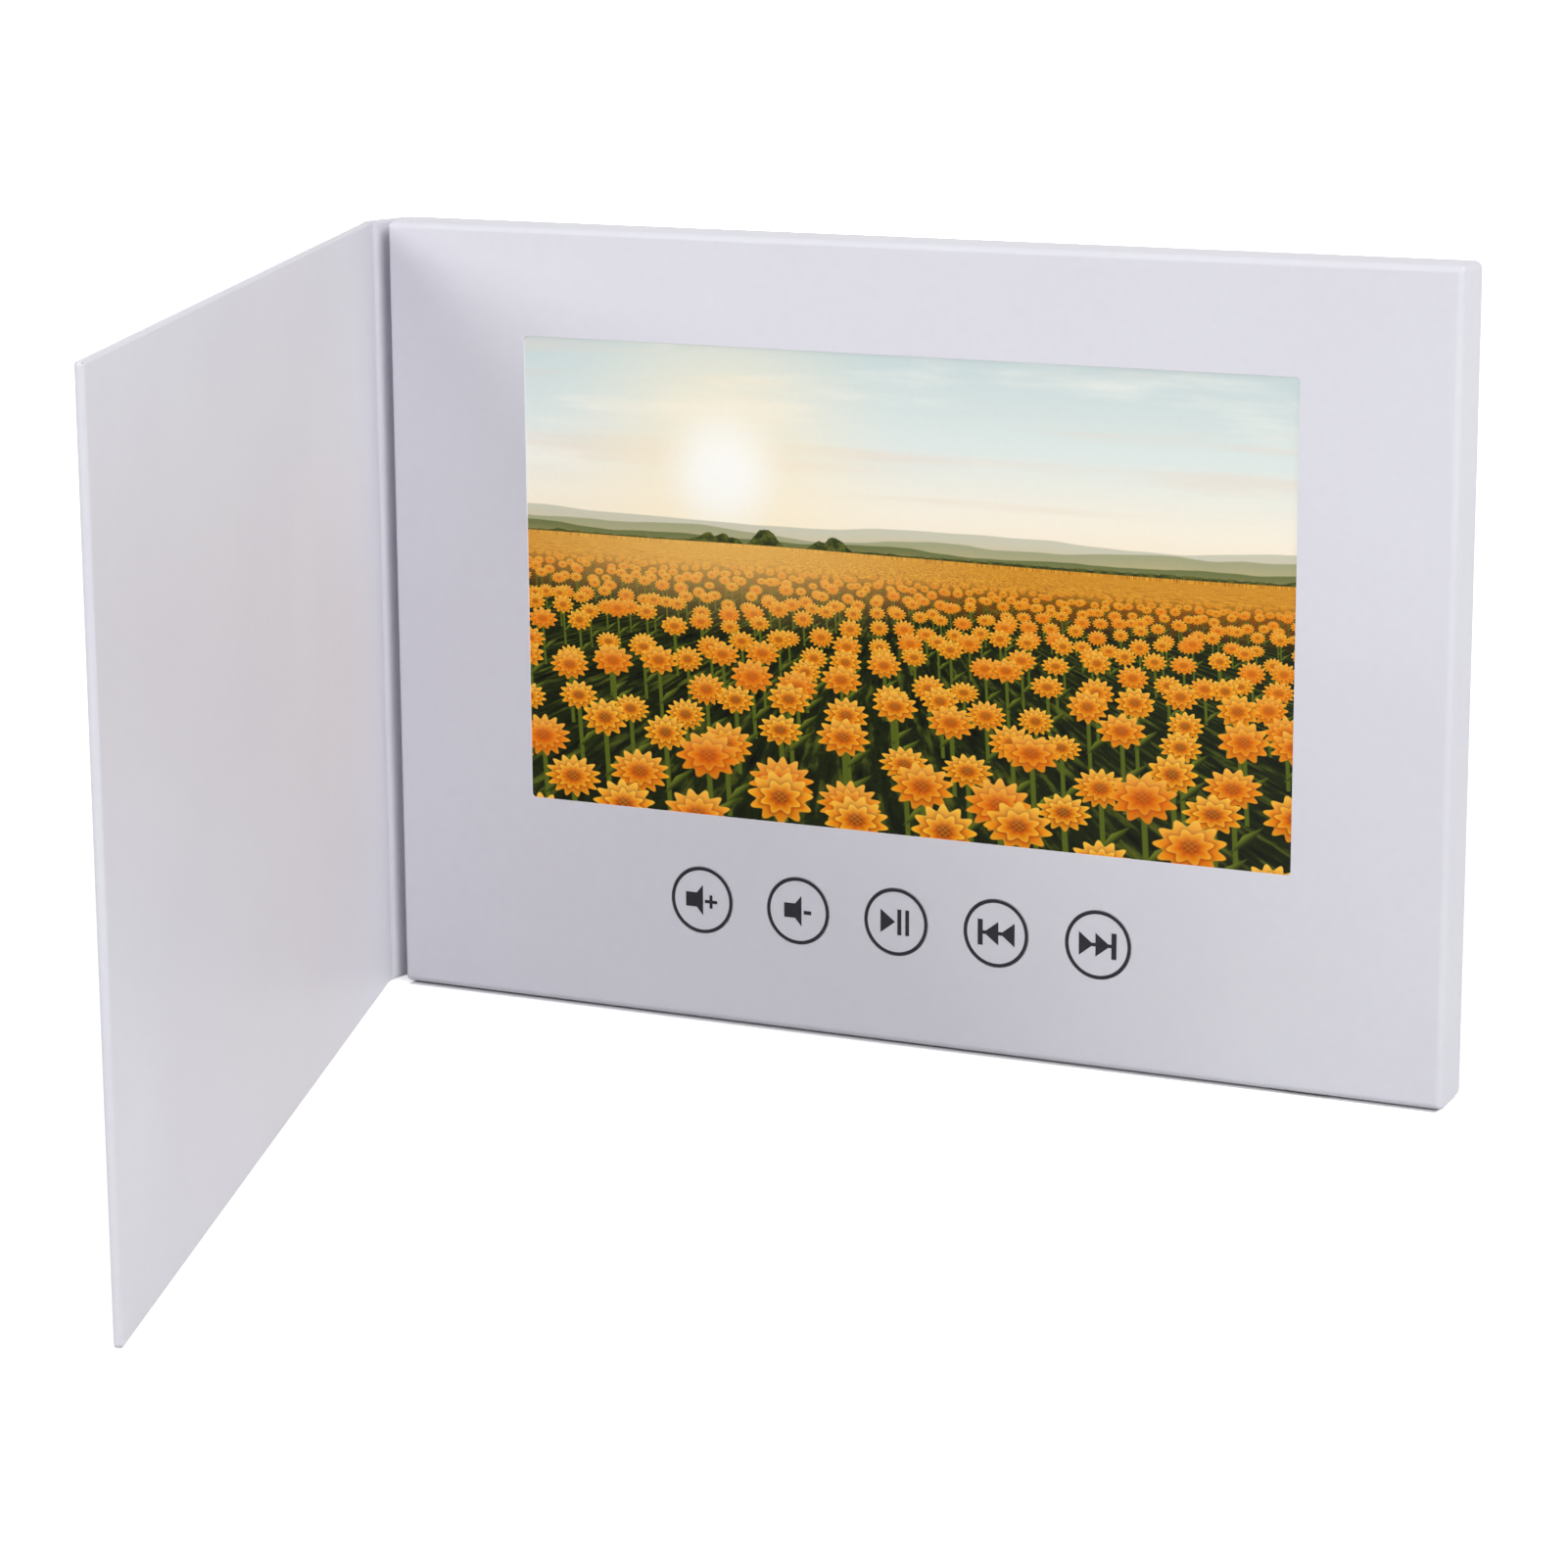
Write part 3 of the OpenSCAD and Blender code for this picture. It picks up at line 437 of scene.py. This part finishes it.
def picture():
    """A summer landscape: a low sun, hills with round trees and a field of round flowers."""
    x, _, z = split(here())
    u = x / PICTURE_H
    height = (z - PICTURE_LOW) / PICTURE_H
    # Sky
    sky = ramp(
        height, (0.56, rgb(253, 234, 202)), (0.68, rgb(250, 242, 224)),
        (0.82, rgb(226, 235, 231)), (1.0, rgb(204, 219, 219)))
    streak = noise(joined(u * 1.5 + height * 1.1, height * 9.0), 1.0, 4.0, 0.55)
    sky = mix(smooth(streak, 0.5, 0.72) * smooth(height, 0.6, 0.8) * 0.55, sky, rgb(255, 250, 240))
    wisp = noise(joined(u * 0.9 + 7.0, height * 16.0), 1.0, 3.0, 0.5)
    sky = mix(smooth(wisp, 0.52, 0.7) * 0.35, sky, rgb(238, 214, 196))
    sun_u, sun_h = u - SUN[0], height - SUN[1]
    away = calc("SQRT", sun_u * sun_u + sun_h * sun_h)
    sky = mix(smooth(away, 0.46, 0.0) * 0.75, sky, rgb(255, 240, 206))
    sky = mix(smooth(away, 0.17, 0.03), sky, rgb(255, 254, 247))
    # Hills, from far to near
    colour = sky
    ridges = (
        (HORIZON + 0.055, 1.3, 3.1, 0.10, rgb(206, 203, 182)),
        (HORIZON + 0.036, 1.9, 8.7, 0.08, rgb(166, 166, 130)),
        (HORIZON + 0.016, 2.6, 1.9, 0.06, rgb(112, 118, 72)),
    )
    for level, scale, seed, reach, tone in ridges:
        ridge = hill(u, level, scale, seed, reach)
        shade = mix(smooth(ridge - height, 0.0, 0.05), tone, rgb(226, 196, 132))
        shade = mix(0.45, tone, shade)
        colour = mix(smooth(ridge - height, -0.0015, 0.0015), colour, shade)
    # Round trees on the near ridge
    crowns = cells(joined(u * 13.0, 0.3), 1.0)
    tall = noise(joined(u * 2.2 + 3.0, 5.0), 1.0, 1.0)
    top = HORIZON + 0.004 + smooth(crowns, 0.62, 0.15) * smooth(tall, 0.44, 0.66) * 0.055
    leaves = noise(joined(u * 60.0, height * 60.0), 1.0, 3.0)
    tree = mix(smooth(leaves, 0.35, 0.7), rgb(44, 54, 26), rgb(96, 100, 44))
    colour = mix(smooth(top + (leaves - 0.5) * 0.012 - height, -0.001, 0.002), colour, tree)
    # Field
    land = HORIZON + (noise(joined(u * 1.1 + 2.0, 4.0), 1.0, 1.0) - 0.5) * 0.02
    v = calc("MAXIMUM", (land - height) / HORIZON, 0.012)
    distance = calc("LOGARITHM", v, ROW_RATIO)
    streaks = noise(joined(u / v * 16.0, distance * 1.6), 1.0, 3.0, 0.6)
    blades = noise(joined(u / v * 34.0 + height * 9.0, distance * 0.9), 1.0, 2.0, 0.5)
    field = ramp(
        streaks * 0.5 + blades * 0.5, (0.36, rgb(10, 12, 5)), (0.52, rgb(30, 38, 12)),
        (0.7, rgb(98, 106, 32)))
    field = mix(smooth(v, 0.24, 0.03) * 0.8, field, rgb(186, 100, 20))
    row = calc("FLOOR", distance)
    for nearer in (2.0, 1.0, 0.0, -1.0):
        field = blossoms(field, u, v, row + nearer)
    speck = cells(joined(u / v * 24.0, distance * 8.0), 1.0, out="Color")
    speck_tone = mix(split(speck)[0], rgb(150, 72, 12), rgb(252, 186, 62))
    field = mix(smooth(v, 0.12, 0.05), field, speck_tone)
    glow = smooth(calc("SQRT", sun_u * sun_u * 0.5 + v * v * 2.0), 0.5, 0.0)
    field = mix(glow * 0.35, field, rgb(255, 214, 130))
    return mix(smooth(land - height, -0.001, 0.001), colour, field)


def display_look():
    shader = material("display_glass")
    shown = picture()
    put(shader.inputs["Emission Color"], shown)
    shader.inputs["Emission Strength"].default_value = 0.7
    haze = noise(here(), 700.0, 2.0)
    return surface(
        mix(0.7, shown, (0.0, 0.0, 0.0, 1.0)), 0.24 + haze * 0.08,
        Specular_IOR_Level=0.1)


LOOKS = {look.name.removesuffix("_look"): look for look in (
    paper_look("white_card", rgb(228, 228, 235), rgb(225, 224, 232), 0.46, 0.35),
    greyboard_look(),
    ink_look(),
    display_look(),
    foam_look(),
    circuit_look(),
    moulded_look("light_guide", rgb(240, 242, 246), rgb(228, 231, 238), 0.25),
    moulded_look("black_plastic", rgb(34, 34, 36), rgb(22, 22, 24), 0.45),
    moulded_look("component", rgb(186, 160, 122), rgb(150, 124, 90), 0.35),
    moulded_look("amber_film", rgb(206, 132, 34), rgb(180, 104, 22), 0.22),
    moulded_look("ivory_plastic", rgb(236, 230, 214), rgb(222, 214, 194), 0.4),
    moulded_look("ribbon", rgb(212, 210, 204), rgb(188, 186, 180), 0.3),
    moulded_look("red_insulation", rgb(178, 26, 24), rgb(140, 16, 16), 0.35),
    moulded_look("black_insulation", rgb(30, 30, 32), rgb(18, 18, 20), 0.35),
    metal_look("sheet_steel", rgb(196, 196, 194), rgb(158, 158, 156), 0.34, (1, 1, 9)),
    metal_look("battery_foil", rgb(206, 208, 210), rgb(178, 180, 184), 0.3, (6, 1, 1)),
    metal_look("magnet", rgb(210, 210, 208), rgb(180, 180, 180), 0.22, (1, 4, 1)),
    ring_look("speaker_metal", rgb(92, 92, 96), rgb(64, 64, 68), 0.45, 60.0),
    ring_look("speaker_paper", rgb(52, 50, 48), rgb(30, 29, 28), 0.85, 150.0),
)}
PAPER = LOOKS["white_card"]


# Shapes

def inset(radius, depth):
    """How far a rounded edge has drawn in at some depth below its face."""
    left = radius - depth
    return radius - math.sqrt(max(radius * radius - left * left, 0.0)) if left > 0 else 0.0


def outline(low, high, radii):
    """Points round a rectangle with rounded corners, anticlockwise from the low-low corner."""
    steps = 8
    corners = (
        (low[0], low[1], 1, 1, 180), (high[0], low[1], -1, 1, 270),
        (high[0], high[1], -1, -1, 0), (low[0], high[1], 1, -1, 90))
    points = []
    for (x, z, sx, sz, start), r in zip(corners, radii):
        r = max(r, LEAST_R)
        for k in range(steps + 1):
            a = math.radians(start + 90 * k / steps)
            points.append((x + sx * r + r * math.cos(a), z + sz * r + r * math.sin(a)))
    return points


def circle(x, z, r):
    steps = 96
    return [
        (x + r * math.cos(math.tau * k / steps), z + r * math.sin(math.tau * k / steps))
        for k in range(steps)]


def loft(bm, rings):
    """Walls through rings of as many points each; returns their rings of vertices."""
    made = [[bm.verts.new(p) for p in ring] for ring in rings]
    for a, b in zip(made, made[1:]):
        bridge(bm, a, b)
    return made


def bridge(bm, a, b):
    n = len(a)
    for i in range(n):
        j = (i + 1) % n
        bm.faces.new((a[i], a[j], b[j], b[i]))


def plate(bm, *loops):
    """A flat face inside the first loop, with the other loops as its holes."""
    edges = []
    for loop in loops:
        for i, v in enumerate(loop):
            pair = (v, loop[(i + 1) % len(loop)])
            edges.append(bm.edges.get(pair) or bm.edges.new(pair))
    bmesh.ops.triangle_fill(bm, use_beauty=True, edges=edges)


def placed(points, y):
    return [(x, y, z) for x, z in points]


def piece(name, bm, look, turn=None, sharp=50.0):
    """Turns a closed mesh in millimetres into an object in metres, smooth but at sharp edges."""
    bmesh.ops.recalc_face_normals(bm, faces=bm.faces)
    mesh = bpy.data.meshes.new(name)
    bm.to_mesh(mesh)
    bm.free()
    mesh.transform(Matrix.Scale(MM, 4))
    if turn is not None:
        mesh.transform(turn)
    mesh.polygons.foreach_set("use_smooth", [True] * len(mesh.polygons))
    mesh.set_sharp_from_angle(angle=math.radians(sharp))
    mesh.materials.append(look)
    made = bpy.data.objects.new(name, mesh)
    bpy.context.scene.collection.objects.link(made)
    return made


def weigh_normals(made):
    """Keeps the flat faces flat in shading beside their rounded edges."""
    m = made.modifiers.new("flat_faces", "WEIGHTED_NORMAL")
    m.keep_sharp = True
    m.weight = 100


def settle(made):
    """Writes the modifiers into the mesh."""
    graph = bpy.context.evaluated_depsgraph_get()
    mesh = bpy.data.meshes.new_from_object(made.evaluated_get(graph))
    made.modifiers.clear()
    made.data = mesh


def block_cutter(low, high):
    bm = bmesh.new()
    bmesh.ops.create_cube(bm, size=1.0)
    for v in bm.verts:
        v.co = Vector((low[i] + (high[i] - low[i]) * (v.co[i] + 0.5)) * MM for i in range(3))
    mesh = bpy.data.meshes.new("cutter")
    bm.to_mesh(mesh)
    bm.free()
    made = bpy.data.objects.new("cutter", mesh)
    bpy.context.scene.collection.objects.link(made)
    return made


def cut(made, cutter):
    m = made.modifiers.new("cut", "BOOLEAN")
    m.operation = "DIFFERENCE"
    m.solver = "EXACT"
    m.object = cutter
    bpy.context.view_layer.update()
    settle(made)
    bpy.data.objects.remove(cutter)


def tray_shell():
    """The printed card folded round the screen box, with its window, key holes and slot."""
    bm = bmesh.new()
    front, back = TRAY_LO.y, TRAY_HI.y
    steps = 10

    def form(draw_in):
        """Rings of the card's outer or inner face, from the open back to the front."""
        r, left_r = EDGE_R - draw_in, LEFT_EDGE_R - draw_in
        depths = [r * (1 - math.sin(math.pi / 2 * k / steps)) for k in range(steps + 1)]
        rings = []
        for y, depth in [(back, r)] + [(front + draw_in + depth, depth) for depth in depths]:
            d, left = draw_in + inset(r, depth), draw_in + inset(left_r, depth)
            near = max(FRONT_CORNER_R - d, LEAST_CORNER_R)
            far = BACK_CORNER_R - d if y == back else near
            rings.append(placed(outline(
                (TRAY_LO.x + left, TRAY_LO.z + d), (TRAY_HI.x - d, TRAY_HI.z - d),
                (near, far, far, near)), y))
        return loft(bm, rings)

    outer, inner = form(0.0), form(CARD_T)
    bridge(bm, outer[0], inner[0])

    def hole(shape):
        """A hole through the card whose front edge is a little rounded."""
        rings = []
        r = HOLE_EDGE_R
        for k in range(5):
            a = math.pi / 2 * k / 4
            rings.append(placed(shape(r * (1 - math.sin(a))), front + r * (1 - math.cos(a))))
        rings.append(placed(shape(0.0), front + CARD_T))
        return loft(bm, rings)

    x0, z0, x1, z1 = WINDOW
    holes = [hole(lambda g: outline(
        (x0 - g, z0 - g), (x1 + g, z1 + g), (WINDOW_R + g,) * 4))]
    for name in KEY_NAMES:
        low, high = node_box(name + "_key")
        x, z = (low.x + high.x) / 2, (low.z + high.z) / 2
        holes.append(hole(lambda g, x=x, z=z: circle(x, z, KEY_R + KEY_GAP + g)))
    plate(bm, outer[-1], *[h[0] for h in holes])
    plate(bm, inner[-1], *[h[-1] for h in holes])
    made = piece("tray_shell", bm, PAPER)
    cut(made, block_cutter(*USB_SLOT))
    made.data.set_sharp_from_angle(angle=math.radians(50))
    weigh_normals(made)
    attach(made, "box")
    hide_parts("tray_wrap")


def panel(name, x0, x1, y0, y1, soft_x0, soft_x1, corner, turn, faces=(1, 1)):
    """A paper-covered board from x0 to x1 and y0 to y1 whose free edges are pressed round.

    An edge that isn't soft is the one beside a crease. faces says which of the two broad faces,
    at y0 and y1, have pressed edges.
    """
    bm = bmesh.new()
    steps = 6
    r = PANEL_EDGE_R
    z0, z1 = TRAY_LO.z, TRAY_HI.z
    depths = [r * (1 - math.sin(math.pi / 2 * k / steps)) for k in range(steps, -1, -1)]
    levels = [(y0 + d, d) for d in depths] if faces[0] else [(y0, r)]
    levels += [(y1 - d, d) for d in reversed(depths)] if faces[1] else [(y1, r)]
    rings = []
    for y, d in levels:
        free, held = inset(r, d), inset(LEAST_R, d)
        i0, i1 = (free if soft_x0 else held), (free if soft_x1 else held)
        rounded = max(corner - free, LEAST_CORNER_R)
        c0, c1 = (rounded if soft else LEAST_CORNER_R for soft in (soft_x0, soft_x1))
        rings.append(placed(outline(
            (x0 + i0, z0 + free), (x1 - i1, z1 - free), (c0, c1, c1, c0)), y))
    made = loft(bm, rings)
    bm.faces.new(made[0])
    bm.faces.new(made[-1])
    return piece(name, bm, PAPER, turn)


def turned(place, angle):
    """Puts what is drawn flat at a crease, as the case stands."""
    return Matrix.Translation((place.x * MM, place.y * MM, 0)) @ Matrix.Rotation(
        math.radians(angle), 4, "Z")


def case():
    back = panel(
        "back_shell", TRAY_LO.x, TRAY_HI.x, BACK_Y - 2 * PANEL_H, BACK_Y, False, True,
        BACK_CORNER_R, None, faces=(0, 1))
    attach(back, "box")
    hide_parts("back_wrap")
    spine = panel(
        "spine_shell", PANEL_GAP - SPINE_L, -PANEL_GAP, -PANEL_H, PANEL_H, False, False,
        0.0, turned(CREASE_A, SPINE_ANGLE))
    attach(spine, "spine")
    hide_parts("spine_wrap", "spine_liner")
    cover = panel(
        "cover_shell", -COVER_L, -PANEL_GAP, -PANEL_H, PANEL_H, True, False,
        COVER_CORNER_R, turned(CREASE_B, SPINE_ANGLE + COVER_FOLD))
    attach(cover, "cover")
    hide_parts("cover_wrap", "cover_liner")
    for made in (back, spine, cover):
        weigh_normals(made)


def bezier(a, b, c, d, t):
    s = 1 - t
    return a * s ** 3 + b * (3 * s * s * t) + c * (3 * s * t * t) + d * t ** 3


def crease(name, place, angle_a, angle_b, pull_out, pull_in):
    """The paper curved between two panels, a strip that leaves their faces level.

    pull_out and pull_in are how far its outer and inner curve go on from each panel.
    """
    steps = 16

    def frame_of(angle, side):
        a = math.radians(angle)
        return Vector((side * math.cos(a), side * math.sin(a))), Vector((-math.sin(a), math.cos(a)))

    dir_a, up_a = frame_of(angle_a, 1)
    dir_b, up_b = frame_of(angle_b, -1)

    def curve_at(level, pull, level_run, sink):
        """From the first panel's face at some level across to the second's.

        level_run is the part beside each panel that goes straight on, and sink is how far the
        curve is pressed in between them.
        """
        a, b = (
            place + along * (PANEL_GAP - level_run) + up * level
            for along, up in ((dir_a, up_a), (dir_b, up_b)))
        near_a, near_b = a - dir_a * pull - up_a * sink, b - dir_b * pull - up_b * sink
        bend = [bezier(a, near_a, near_b, b, k / steps) for k in range(steps + 1)]
        return [a + dir_a * level_run] + bend + [b + dir_b * level_run]

    outside = curve_at(PANEL_H, pull_out, 0.02, 0.15)
    inside = curve_at(-PANEL_H, pull_in, 0.15, 0.0)
    middle = [(p + q) / 2 for p, q in zip(outside, inside)]
    bm = bmesh.new()
    soft, recess = 0.22, 0.06
    z0, z1 = TRAY_LO.z + recess, TRAY_HI.z - recess
    levels = [
        (soft * (1 - math.sin(a)), soft * (1 - math.cos(a)))
        for a in (math.pi / 2 * k / 4 for k in range(5))]
    heights = [(z0 + up, drawn) for up, drawn in reversed(levels)]
    heights += [(z1 - up, drawn) for up, drawn in levels]
    rings = []
    for z, drawn in heights:
        share = 1 - drawn / PANEL_H
        points = [m + (p - m) * share for p, m in zip(outside, middle)]
        points += [m + (p - m) * share for p, m in reversed(list(zip(inside, middle)))]
        rings.append([(p.x, p.y, z) for p in points])
    made = loft(bm, rings)
    bm.faces.new(made[0])
    bm.faces.new(made[-1])
    made = piece(name, bm, PAPER, sharp=60)
    start = place + dir_a * PANEL_GAP
    end = place + dir_b * PANEL_GAP
    run = end - start
    held = (inside[0] - start).dot(run) / run.length_squared
    z = (TRAY_LO.z + TRAY_HI.z) / 2
    ends = [
        tuple(c * MM for c in (p.x, p.y, z)) for p in (start + run * held, end - run * held)]
    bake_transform(made)


tray_shell()
case()
crease("back_crease", CREASE_A, 0.0, SPINE_ANGLE, 0.6, 1.0)
crease(
    "front_crease", CREASE_B, SPINE_ANGLE, SPINE_ANGLE + COVER_FOLD, 0.6, 0.6)

for part in frame["record"]["subparts"]:
    data = frame["nodes"][part["node"]].data
    data.materials.clear()
    data.materials.append(LOOKS[part["material_slot"]])


# Camera, floor and light, with places in metres, turns in degrees and the lens in millimetres

CAMERA_PLACE = Vector((0.32767, -0.72682, 0.22629))
YAW, PITCH, ROLL = -25.904, -12.596, -0.316
LENS = 101.9
FLOOR_R, FLOOR_Z = 30.0, -0.0002


def camera():
    yaw, pitch, roll = (math.radians(a) for a in (YAW, PITCH, ROLL))
    level = math.cos(pitch)
    ahead = Vector((math.sin(yaw) * level, math.cos(yaw) * level, math.sin(pitch)))
    right = Vector((math.cos(yaw), -math.sin(yaw), 0))
    up = right.cross(ahead)
    x = right * math.cos(roll) + up * math.sin(roll)
    y = up * math.cos(roll) - right * math.sin(roll)
    made = bpy.data.objects.new("camera", bpy.data.cameras.new("camera"))
    turn = Matrix((x, y, -ahead)).transposed()
    made.matrix_world = Matrix.Translation(CAMERA_PLACE) @ turn.to_4x4()
    made.data.sensor_width = 36.0
    made.data.lens = LENS
    made.data.clip_start, made.data.clip_end = 0.01, 100.0
    bpy.context.scene.collection.objects.link(made)
    bpy.context.scene.camera = made


def seen_rays():
    """1 for a ray that shows a surface to the camera, straight or by gloss or glass, else 0."""
    paths = node("ShaderNodeLightPath")
    seen = Val(paths.outputs["Is Camera Ray"])
    for kind in ("Is Glossy Ray", "Is Transmission Ray"):
        seen = calc("MAXIMUM", seen, Val(paths.outputs[kind]))
    return seen


def floor():
    """A pale floor that the camera sees lifted to white, but for the shadow close by the box."""
    bm = bmesh.new()
    bmesh.ops.create_circle(bm, cap_ends=True, segments=96, radius=FLOOR_R)
    mesh = bpy.data.meshes.new("floor")
    bm.to_mesh(mesh)
    bm.free()
    made = bpy.data.objects.new("floor", mesh)
    made.location.z = FLOOR_Z
    bpy.context.scene.collection.objects.link(made)
    shader = material("floor")
    slow = noise(here(), 3.0, 2.0)
    colour = mix(slow, rgb(204, 204, 206), rgb(208, 208, 209))
    put(shader.inputs["Base Color"], colour)
    shader.inputs["Roughness"].default_value = 0.9
    shader.inputs["Specular IOR Level"].default_value = 0.1
    x, y, _ = split(here())
    beside = calc("MAXIMUM", calc("ABSOLUTE", x) - (TRAY_HI.x - EDGE_R) * MM, 0.0)
    before = calc("MAXIMUM", calc("ABSOLUTE", y) - BACK_Y * MM, 0.0)
    away = calc("SQRT", beside * beside + before * before)
    # Painted shadow: the real contact shadow shows only where this mask leaves the floor unlifted,
    # so the dark line in front of the box is painted narrower towards its right, and ends at its
    # sides
    narrowed = before * smooth(x, 0.0, TRAY_HI.x * MM, 1.0, 2.2)
    clear = calc("MAXIMUM", smooth(narrowed, *CONTACT), smooth(beside, 0.0, 0.0008))
    lift = clear * smooth(away, 0.05, 1.2, NEAR_LIFT, FAR_LIFT)
    shader.inputs["Emission Color"].default_value = (1, 1, 1, 1)
    put(shader.inputs["Emission Strength"], seen_rays() * lift)
    mesh.materials.append(MATERIAL)


def world():
    """Soft light from all round, and white where it is seen."""
    global TREE
    made = bpy.data.worlds.new("studio")
    bpy.context.scene.world = made
    made.use_nodes = True
    TREE = made.node_tree
    shade = TREE.nodes["Background"]
    shade.inputs["Color"].default_value = (1.0, 1.0, 1.0, 1.0)
    put(shade.inputs["Strength"], AMBIENT + seen_rays() * (1.0 - AMBIENT))


def lamp(name, place, size, power):
    """A round white lamp that faces the object."""
    data = bpy.data.lights.new(name, "AREA")
    data.shape = "DISK"
    data.size = size
    data.energy = power
    made = bpy.data.objects.new(name, data)
    made.location = place
    made.rotation_mode = "QUATERNION"
    made.rotation_quaternion = (LAMP_AIM - Vector(place)).to_track_quat("-Z", "Y")
    bpy.context.scene.collection.objects.link(made)
    return made


# Strength of the light from all round, how much the floor is lifted near the box and far from it,
# and from where to where before the box the lift sets in
AMBIENT = 0.3
NEAR_LIFT, FAR_LIFT = 0.63, 1.0
CONTACT = (-0.0002, 0.002)
LAMP_AIM = Vector((0.0, -0.05, 0.07))

bpy.context.scene.view_settings.view_transform = "Standard"
camera()
floor()
world()
lamp("front", (-0.75, -1.35, 0.87), 1.0, 11.4)
lamp("upper", (1.145, -0.585, 1.21), 1.0, 15.6)
lamp("side", (1.586, -0.475, 0.51), 1.0, 3.1)
behind = lamp("behind", (-0.85, 1.4, 0.3), 0.9, 13.0)
behind.visible_glossy = False
